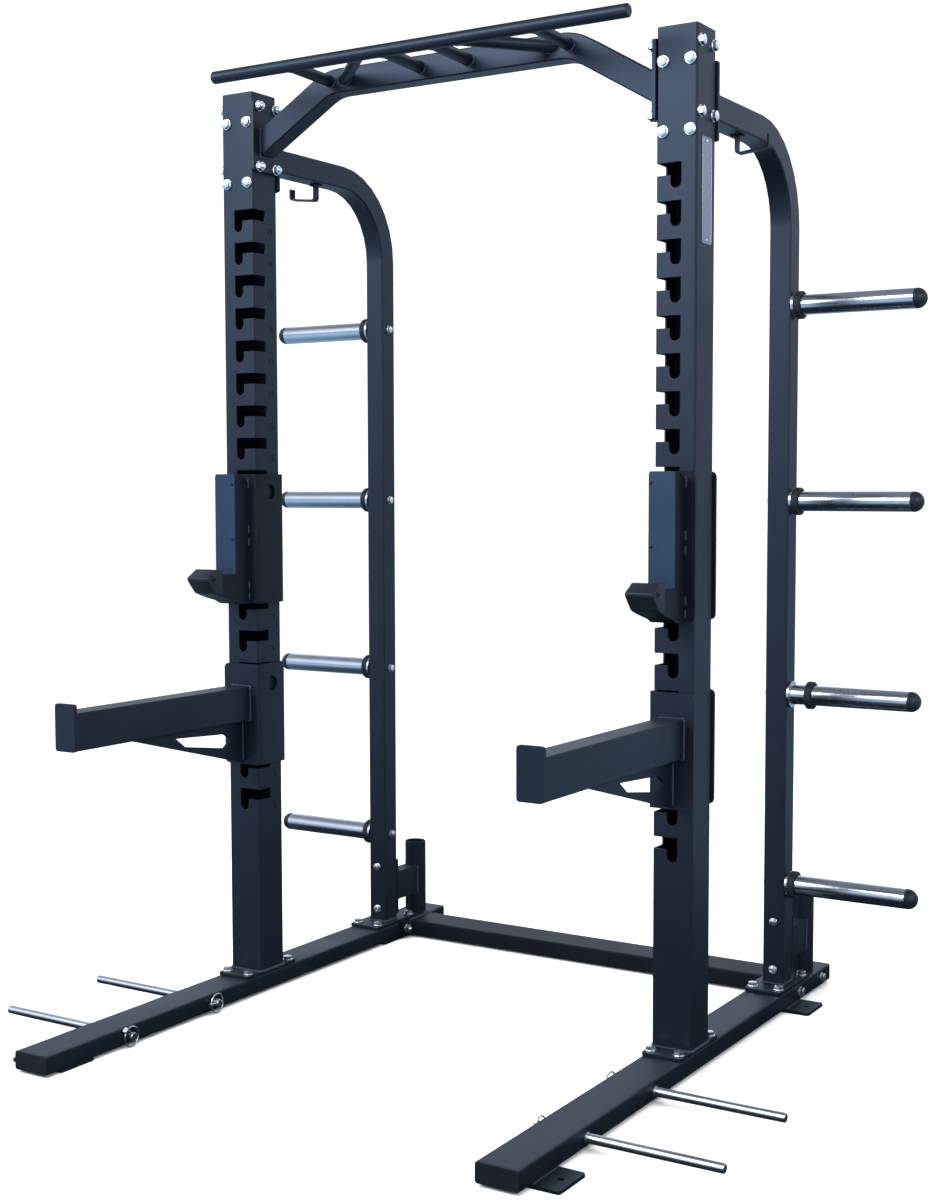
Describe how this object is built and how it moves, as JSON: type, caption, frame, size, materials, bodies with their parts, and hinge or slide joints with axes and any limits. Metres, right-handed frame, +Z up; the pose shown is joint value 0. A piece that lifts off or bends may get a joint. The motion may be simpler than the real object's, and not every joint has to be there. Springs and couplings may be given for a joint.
{
  "type": "half rack",
  "caption": "Free-standing steel half rack with slotted uprights, J-cups, safety arms, pull-up bar, weight pegs, barbell holders and band pegs.",
  "frame": {"origin": "on the floor, under the middle of the rack's outer box", "axes": "+X to the right of someone who stands before the open front and looks into the rack; +Y from the open front to the back; +Z up"},
  "size_m": [1.7972, 1.5186, 2.1648],
  "materials": {
    "paint": "dark slate blue powder coat, satin",
    "chrome": "polished chrome plate",
    "zinc": "bright zinc plate",
    "black_plastic": "matt",
    "grey_plastic": "satin",
    "rubber": "matt"
  },
  "bodies": {
    "frame": {"base_tube_right": "paint", "base_cap_front_right": "black_plastic", "base_cap_rear_right": "black_plastic", "upright_right": "paint", "rear_frame_right": "paint", "accessory_hook_right": "paint", "barbell_holder_right": "paint", "weight_peg_1_right": "chrome", "peg_cap_1_right": "black_plastic", "weight_peg_2_right": "chrome", "peg_cap_2_right": "black_plastic", "weight_peg_3_right": "chrome", "peg_cap_3_right": "black_plastic", "weight_peg_4_right": "chrome", "peg_cap_4_right": "black_plastic", "band_peg_front_right": "chrome", "linch_pin_front_right": "zinc", "band_peg_rear_right": "chrome", "linch_pin_rear_right": "zinc", "base_tube_left": "paint", "base_cap_front_left": "black_plastic", "base_cap_rear_left": "black_plastic", "upright_left": "paint", "rear_frame_left": "paint", "accessory_hook_left": "paint", "barbell_holder_left": "paint", "weight_peg_1_left": "chrome", "peg_cap_1_left": "black_plastic", "weight_peg_2_left": "chrome", "peg_cap_2_left": "black_plastic", "weight_peg_3_left": "chrome", "peg_cap_3_left": "black_plastic", "weight_peg_4_left": "chrome", "peg_cap_4_left": "black_plastic", "band_peg_front_left": "chrome", "linch_pin_front_left": "zinc", "band_peg_rear_left": "chrome", "linch_pin_rear_left": "zinc", "rear_crossbar": "paint", "pull_up_bar": "paint"},
    "peg_ring_1_right": {"peg_ring_1_right": "rubber"},
    "peg_ring_2_right": {"peg_ring_2_right": "rubber"},
    "peg_ring_3_right": {"peg_ring_3_right": "rubber"},
    "peg_ring_4_right": {"peg_ring_4_right": "rubber"},
    "linch_ring_front_right": {"linch_ring_front_right": "zinc"},
    "linch_ring_rear_right": {"linch_ring_rear_right": "zinc"},
    "j_cup_right": {"j_cup_right": "paint", "j_cup_liner_right": "grey_plastic", "j_cup_tip_cap_right": "black_plastic"},
    "safety_arm_right": {"safety_arm_right": "paint"},
    "peg_ring_1_left": {"peg_ring_1_left": "rubber"},
    "peg_ring_2_left": {"peg_ring_2_left": "rubber"},
    "peg_ring_3_left": {"peg_ring_3_left": "rubber"},
    "peg_ring_4_left": {"peg_ring_4_left": "rubber"},
    "linch_ring_front_left": {"linch_ring_front_left": "zinc"},
    "linch_ring_rear_left": {"linch_ring_rear_left": "zinc"},
    "j_cup_left": {"j_cup_left": "paint", "j_cup_liner_left": "grey_plastic", "j_cup_tip_cap_left": "black_plastic"},
    "safety_arm_left": {"safety_arm_left": "paint"}
  },
  "joints": [
    {"name": "j_cup_lift_right", "type": "slide", "parent": "frame", "child": "j_cup_right", "axis": [0, 0, 1], "range_m": [0, 0.027]},
    {"name": "safety_arm_lift_right", "type": "slide", "parent": "frame", "child": "safety_arm_right", "axis": [0, 0, 1], "range_m": [0, 0.027]},
    {"name": "peg_ring_slide_1_right", "type": "slide", "parent": "frame", "child": "peg_ring_1_right", "axis": [1, 0, 0], "range_m": [0, 0.259]},
    {"name": "peg_ring_slide_2_right", "type": "slide", "parent": "frame", "child": "peg_ring_2_right", "axis": [1, 0, 0], "range_m": [-0.036, 0.223]},
    {"name": "peg_ring_slide_3_right", "type": "slide", "parent": "frame", "child": "peg_ring_3_right", "axis": [1, 0, 0], "range_m": [0, 0.259]},
    {"name": "peg_ring_slide_4_right", "type": "slide", "parent": "frame", "child": "peg_ring_4_right", "axis": [1, 0, 0], "range_m": [0, 0.259]},
    {"name": "linch_ring_swing_front_right", "type": "hinge", "parent": "frame", "child": "linch_ring_front_right", "pos_m": [0.512, -0.5278, 0.0393], "axis": [0, 0.7071, 0.7071], "range_deg": [0, 150]},
    {"name": "linch_ring_swing_rear_right", "type": "hinge", "parent": "frame", "child": "linch_ring_rear_right", "pos_m": [0.512, -0.248, 0.0245], "axis": [0, 0, 1], "range_deg": [0, 150]},
    {"name": "j_cup_lift_left", "type": "slide", "parent": "frame", "child": "j_cup_left", "axis": [0, 0, 1], "range_m": [0, 0.027]},
    {"name": "safety_arm_lift_left", "type": "slide", "parent": "frame", "child": "safety_arm_left", "axis": [0, 0, 1], "range_m": [0, 0.027]},
    {"name": "peg_ring_slide_1_left", "type": "slide", "parent": "frame", "child": "peg_ring_1_left", "axis": [-1, 0, 0], "range_m": [0, 0.259]},
    {"name": "peg_ring_slide_2_left", "type": "slide", "parent": "frame", "child": "peg_ring_2_left", "axis": [-1, 0, 0], "range_m": [0, 0.259]},
    {"name": "peg_ring_slide_3_left", "type": "slide", "parent": "frame", "child": "peg_ring_3_left", "axis": [-1, 0, 0], "range_m": [0, 0.259]},
    {"name": "peg_ring_slide_4_left", "type": "slide", "parent": "frame", "child": "peg_ring_4_left", "axis": [-1, 0, 0], "range_m": [0, 0.259]},
    {"name": "linch_ring_swing_front_left", "type": "hinge", "parent": "frame", "child": "linch_ring_front_left", "pos_m": [-0.512, -0.5278, 0.0393], "axis": [0, -0.7071, -0.7071], "range_deg": [0, 150]},
    {"name": "linch_ring_swing_rear_left", "type": "hinge", "parent": "frame", "child": "linch_ring_rear_left", "pos_m": [-0.512, -0.248, 0.0245], "axis": [0, 0, -1], "range_deg": [0, 150]}
  ]
}
